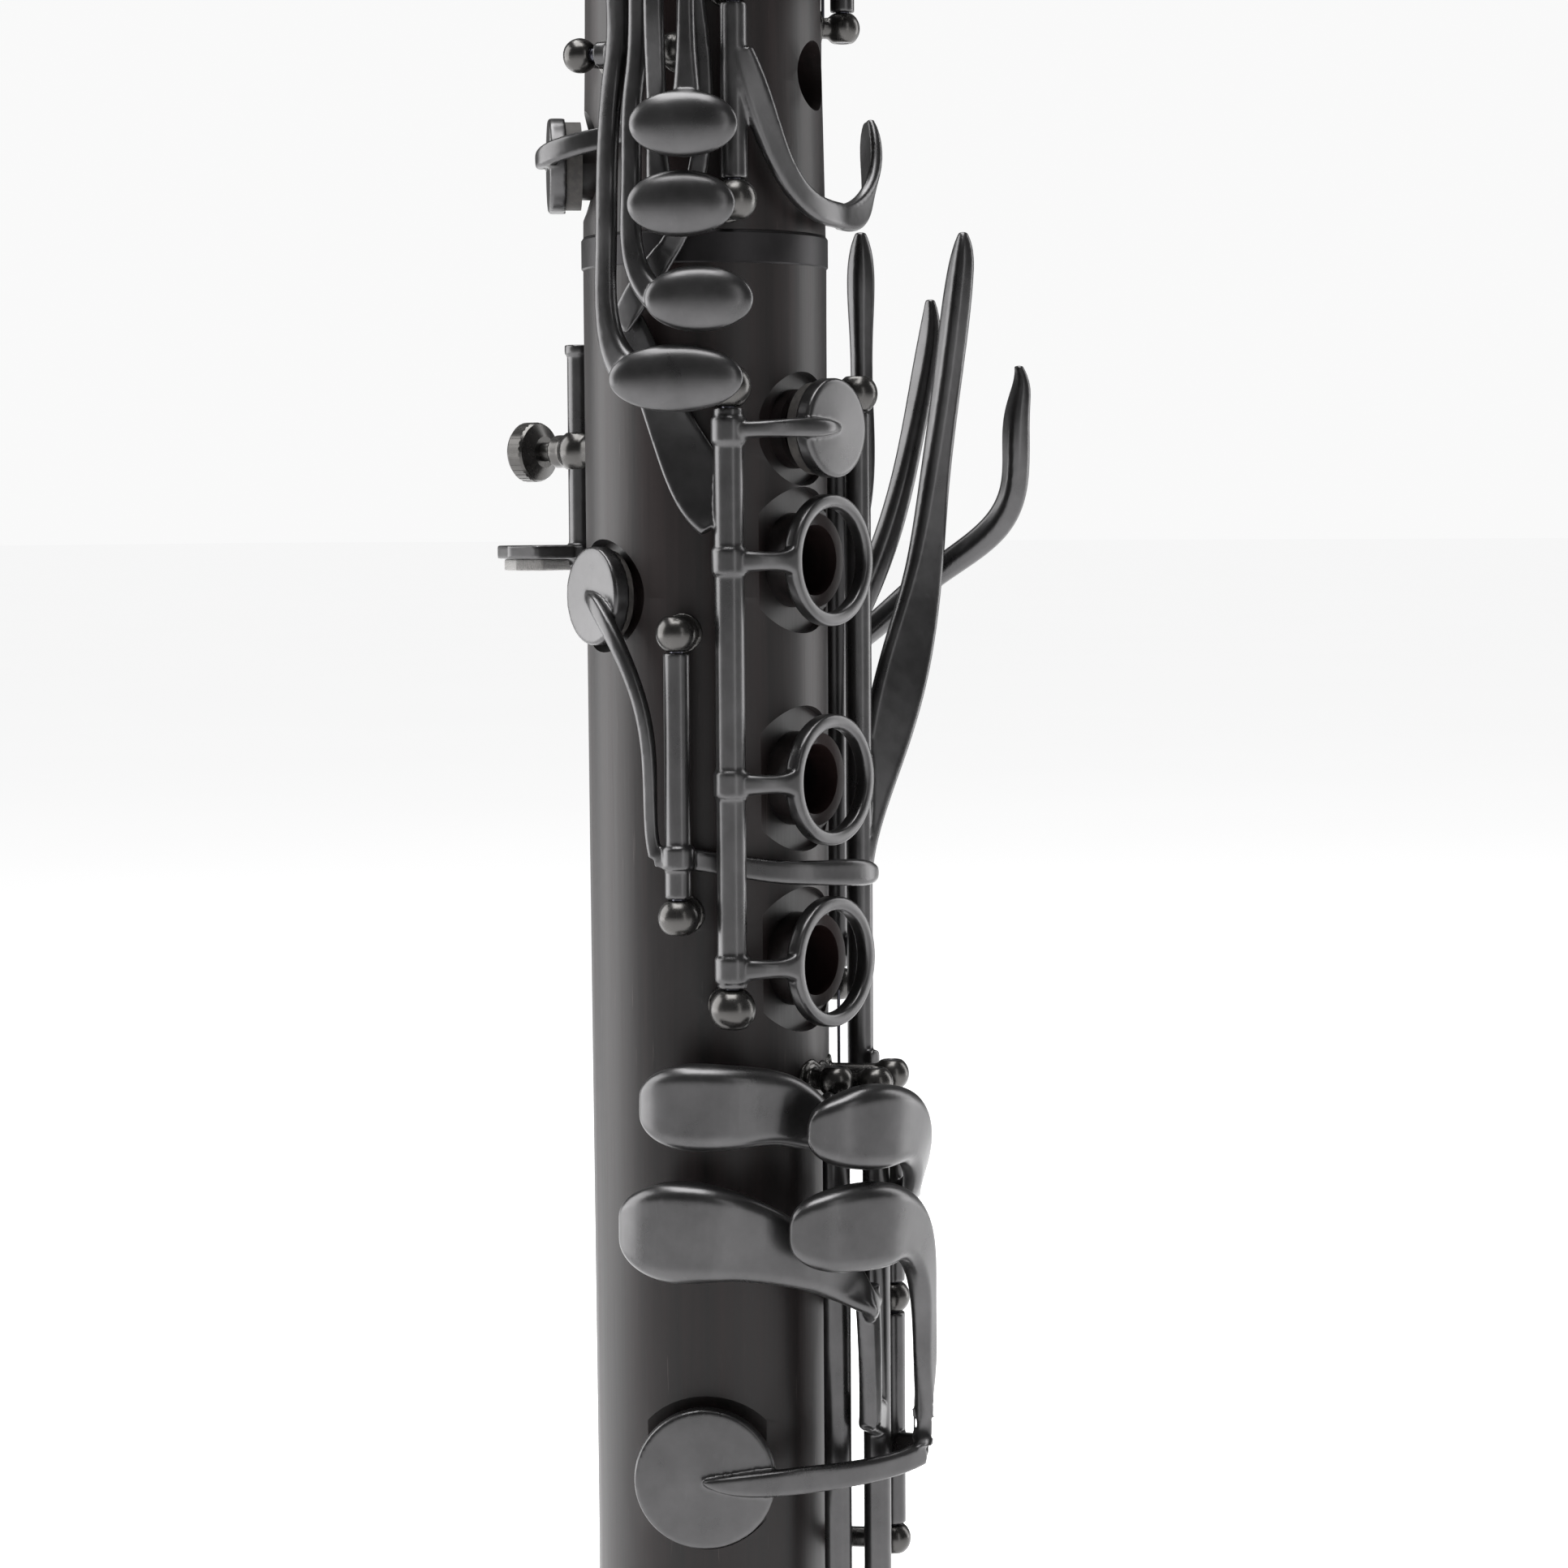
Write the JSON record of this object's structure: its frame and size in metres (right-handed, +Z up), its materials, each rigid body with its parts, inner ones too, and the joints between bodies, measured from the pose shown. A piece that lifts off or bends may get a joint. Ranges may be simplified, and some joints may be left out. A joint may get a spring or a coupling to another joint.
{
  "type": "clarinet",
  "caption": "Soprano clarinet in dark wood with satin black keywork: mouthpiece, barrel, two keyed joints and a bell, standing upright on the bell.",
  "frame": {"origin": "centre of the bell's rim, on the plane the bell stands on", "axes": "+Z up the air column towards the mouthpiece, -Y the front with the finger holes, -X the player's right-hand side"},
  "size_m": [0.079, 0.079, 0.675],
  "materials": {
    "grenadilla": "oiled, satin",
    "black_plating": "satin black plating on forged nickel silver",
    "blued_steel": "blued",
    "pad_skin": "dull dark skin",
    "cork": "fine granular cork",
    "ebonite": "polished hard rubber",
    "cane": "scraped reed cane"
  },
  "bodies": {
    "bell": {"bell": "grenadilla", "bell_rings": "black_plating"},
    "lower_joint": {"lower_joint": "grenadilla", "lower_top_ring": "black_plating", "lower_joint_cork": "cork", "lower_posts": "black_plating", "lower_rods_and_springs": "blued_steel"},
    "upper_joint": {"upper_joint": "grenadilla", "upper_joint_corks": "cork", "upper_posts": "black_plating", "upper_rods_and_springs": "blued_steel", "tone_hole_tubes": "black_plating"},
    "barrel": {"barrel": "grenadilla", "barrel_rings": "black_plating"},
    "mouthpiece": {"mouthpiece": "ebonite", "mouthpiece_cork": "cork", "reed": "cane", "ligature": "black_plating"},
    "ligature_screw": {"ligature_screw": "black_plating"},
    "thumb_rest": {"thumb_rest_plate": "black_plating", "thumb_rest_cork": "cork"},
    "thumb_rest_screw": {"thumb_rest_screw": "black_plating"},
    "lower_rings_key": {"lower_rings_key": "black_plating", "lower_rings_pad": "pad_skin"},
    "lower_sliver_key": {"lower_sliver_key": "black_plating", "lower_sliver_pad": "pad_skin"},
    "f_c_key": {"f_c_key": "black_plating", "f_c_pad": "pad_skin"},
    "e_b_key": {"e_b_key": "black_plating", "e_b_pad": "pad_skin"},
    "f_sharp_c_sharp_key": {"f_sharp_c_sharp_key": "black_plating", "f_sharp_c_sharp_pad": "pad_skin"},
    "a_flat_e_flat_key": {"a_flat_e_flat_key": "black_plating", "a_flat_e_flat_pad": "pad_skin"},
    "left_hand_lever_e": {"left_hand_lever_e": "black_plating"},
    "left_hand_lever_f": {"left_hand_lever_f": "black_plating"},
    "left_hand_lever_f_sharp": {"left_hand_lever_f_sharp": "black_plating"},
    "left_hand_lever_a_flat": {"left_hand_lever_a_flat": "black_plating"},
    "upper_rings_key": {"upper_rings_key": "black_plating", "upper_rings_pad": "pad_skin"},
    "c_sharp_g_sharp_key": {"c_sharp_g_sharp_key": "black_plating", "c_sharp_g_sharp_pad": "pad_skin"},
    "upper_sliver_key": {"upper_sliver_key": "black_plating", "upper_sliver_pad": "pad_skin"},
    "thumb_ring_key": {"thumb_ring_key": "black_plating", "thumb_ring_pad": "pad_skin"},
    "side_a_key": {"side_a_key": "black_plating", "side_a_pad": "pad_skin"},
    "side_b_key": {"side_b_key": "black_plating", "side_b_pad": "pad_skin"},
    "side_c_key": {"side_c_key": "black_plating", "side_c_pad": "pad_skin"},
    "side_d_key": {"side_d_key": "black_plating", "side_d_pad": "pad_skin"},
    "throat_a_key": {"throat_a_key": "black_plating", "throat_a_pad": "pad_skin"},
    "throat_g_sharp_key": {"throat_g_sharp_key": "black_plating", "throat_g_sharp_pad": "pad_skin"},
    "register_key": {"register_key": "black_plating", "register_pad": "pad_skin"}
  },
  "joints": [
    {"name": "bell_tenon", "type": "slide", "parent": "bell", "child": "lower_joint", "axis": [0, 0, 1], "range_m": [0, 0.022]},
    {"name": "middle_tenon", "type": "slide", "parent": "lower_joint", "child": "upper_joint", "axis": [0, 0, 1], "range_m": [0, 0.021]},
    {"name": "barrel_tenon", "type": "slide", "parent": "upper_joint", "child": "barrel", "axis": [0, 0, 1], "range_m": [0, 0.019]},
    {"name": "mouthpiece_tenon", "type": "slide", "parent": "barrel", "child": "mouthpiece", "axis": [0, 0, 1], "range_m": [0, 0.018]},
    {"name": "ligature_screw_turn", "type": "hinge", "parent": "mouthpiece", "child": "ligature_screw", "pos_m": [0, 0.0173, 0.625], "axis": [1, 0, 0], "range_deg": [-180, 180]},
    {"name": "thumb_rest_slide", "type": "slide", "parent": "lower_joint", "child": "thumb_rest", "axis": [0, 0, 1], "range_m": [-0.009, 0.006]},
    {"name": "thumb_rest_screw_turn", "type": "hinge", "parent": "lower_joint", "child": "thumb_rest_screw", "pos_m": [0, 0.024, 0.3182], "axis": [0, 1, 0], "range_deg": [-90, 90]},
    {"name": "lower_rings_turn", "type": "hinge", "parent": "lower_joint", "child": "lower_rings_key", "pos_m": [-0.01341, -0.01388, 0.288], "axis": [0, 0, 1], "range_deg": [0, 4.5], "stiffness_Nm_per_rad": 0.01, "springref_deg": -28.65},
    {"name": "lower_sliver_turn", "type": "hinge", "parent": "lower_joint", "child": "lower_sliver_key", "pos_m": [-0.01665, -0.0083, 0.279], "axis": [0, 0, 1], "range_deg": [0, 4], "stiffness_Nm_per_rad": 0.01, "springref_deg": -28.65},
    {"name": "f_c_turn", "type": "hinge", "parent": "lower_joint", "child": "f_c_key", "pos_m": [0.00135, -0.01835, 0.195], "axis": [0, 0, 1], "range_deg": [-4, 0], "stiffness_Nm_per_rad": 0.01, "springref_deg": 28.65},
    {"name": "e_b_turn", "type": "hinge", "parent": "lower_joint", "child": "e_b_key", "pos_m": [0.00585, -0.0211, 0.18], "axis": [0, 0, 1], "range_deg": [-3.8, 0], "stiffness_Nm_per_rad": 0.01, "springref_deg": 28.65},
    {"name": "f_sharp_turn", "type": "hinge", "parent": "lower_joint", "child": "f_sharp_c_sharp_key", "pos_m": [0.01114, -0.01978, 0.197], "axis": [0, 0, 1], "range_deg": [-2.4, 0], "stiffness_Nm_per_rad": 0.01, "springref_deg": 28.65},
    {"name": "a_flat_turn", "type": "hinge", "parent": "lower_joint", "child": "a_flat_e_flat_key", "pos_m": [0.01114, -0.01978, 0.226], "axis": [0, 0, 1], "range_deg": [-5, 0], "stiffness_Nm_per_rad": 0.01, "springref_deg": 28.65},
    {"name": "lever_e_turn", "type": "hinge", "parent": "lower_joint", "child": "left_hand_lever_e", "pos_m": [0.01622, -0.01136, 0.284], "axis": [0, 0, 1], "range_deg": [0, 3.8]},
    {"name": "lever_f_turn", "type": "hinge", "parent": "lower_joint", "child": "left_hand_lever_f", "pos_m": [0.01903, -0.00546, 0.288], "axis": [0, 0, 1], "range_deg": [0, 4]},
    {"name": "lever_f_sharp_turn", "type": "hinge", "parent": "lower_joint", "child": "left_hand_lever_f_sharp", "pos_m": [0.01977, 0.00104, 0.287], "axis": [0, 0, 1], "range_deg": [0, 2.4]},
    {"name": "lever_a_flat_turn", "type": "hinge", "parent": "lower_joint", "child": "left_hand_lever_a_flat", "pos_m": [0.01836, 0.00742, 0.286], "axis": [0, 0, 1], "range_deg": [0, 5]},
    {"name": "upper_rings_turn", "type": "hinge", "parent": "upper_joint", "child": "upper_rings_key", "pos_m": [-0.01341, -0.01388, 0.408], "axis": [0, 0, 1], "range_deg": [0, 4.5]},
    {"name": "c_sharp_turn", "type": "hinge", "parent": "upper_joint", "child": "c_sharp_g_sharp_key", "pos_m": [-0.01247, -0.01434, 0.36], "axis": [0, 0, 1], "range_deg": [0, 4], "stiffness_Nm_per_rad": 0.01, "springref_deg": -28.65},
    {"name": "upper_sliver_turn", "type": "hinge", "parent": "upper_joint", "child": "upper_sliver_key", "pos_m": [0.01403, -0.01096, 0.382], "axis": [0, 0, 1], "range_deg": [-5, 0], "stiffness_Nm_per_rad": 0.01, "springref_deg": 28.65},
    {"name": "thumb_ring_turn", "type": "hinge", "parent": "upper_joint", "child": "thumb_ring_key", "pos_m": [-0.0104, 0.01542, 0.411], "axis": [0, 0, 1], "range_deg": [-4.8, 0], "stiffness_Nm_per_rad": 0.01, "springref_deg": 28.65},
    {"name": "side_a_turn", "type": "hinge", "parent": "upper_joint", "child": "side_a_key", "pos_m": [-0.01741, -0.0037, 0.3647], "axis": [0.2079, -0.9781, 0], "range_deg": [0, 2.2], "stiffness_Nm_per_rad": 0.01, "springref_deg": -28.65},
    {"name": "side_b_turn", "type": "hinge", "parent": "upper_joint", "child": "side_b_key", "pos_m": [-0.01741, -0.0037, 0.3647], "axis": [0.2079, -0.9781, 0], "range_deg": [0, 2], "stiffness_Nm_per_rad": 0.01, "springref_deg": -28.65},
    {"name": "side_c_turn", "type": "hinge", "parent": "upper_joint", "child": "side_c_key", "pos_m": [-0.01617, -0.00878, 0.446], "axis": [0.4772, -0.8788, 0], "range_deg": [0, 0.9], "stiffness_Nm_per_rad": 0.01, "springref_deg": -28.65},
    {"name": "side_d_turn", "type": "hinge", "parent": "upper_joint", "child": "side_d_key", "pos_m": [-0.01617, -0.00878, 0.446], "axis": [0.4772, -0.8788, 0], "range_deg": [0, 0.9], "stiffness_Nm_per_rad": 0.01, "springref_deg": -28.65},
    {"name": "throat_a_turn", "type": "hinge", "parent": "upper_joint", "child": "throat_a_key", "pos_m": [0.00421, -0.01688, 0.454], "axis": [0.9703, 0.2419, 0], "range_deg": [0, 3], "stiffness_Nm_per_rad": 0.01, "springref_deg": -28.65},
    {"name": "throat_g_sharp_turn", "type": "hinge", "parent": "upper_joint", "child": "throat_g_sharp_key", "pos_m": [0.00421, -0.01688, 0.454], "axis": [0.9703, 0.2419, 0], "range_deg": [0, 3], "stiffness_Nm_per_rad": 0.01, "springref_deg": -28.65},
    {"name": "register_turn", "type": "hinge", "parent": "upper_joint", "child": "register_key", "pos_m": [0, 0.0176, 0.446], "axis": [-1, 0, 0], "range_deg": [0, 2.5], "stiffness_Nm_per_rad": 0.01, "springref_deg": -28.65}
  ],
  "couplings": [
    {"joint": "upper_rings_turn", "follows": "lower_rings_turn", "ratio": 1},
    {"joint": "lever_e_turn", "follows": "e_b_turn", "ratio": -1},
    {"joint": "lever_f_turn", "follows": "f_c_turn", "ratio": -1},
    {"joint": "lever_f_sharp_turn", "follows": "f_sharp_turn", "ratio": -1},
    {"joint": "lever_a_flat_turn", "follows": "a_flat_turn", "ratio": -1}
  ]
}
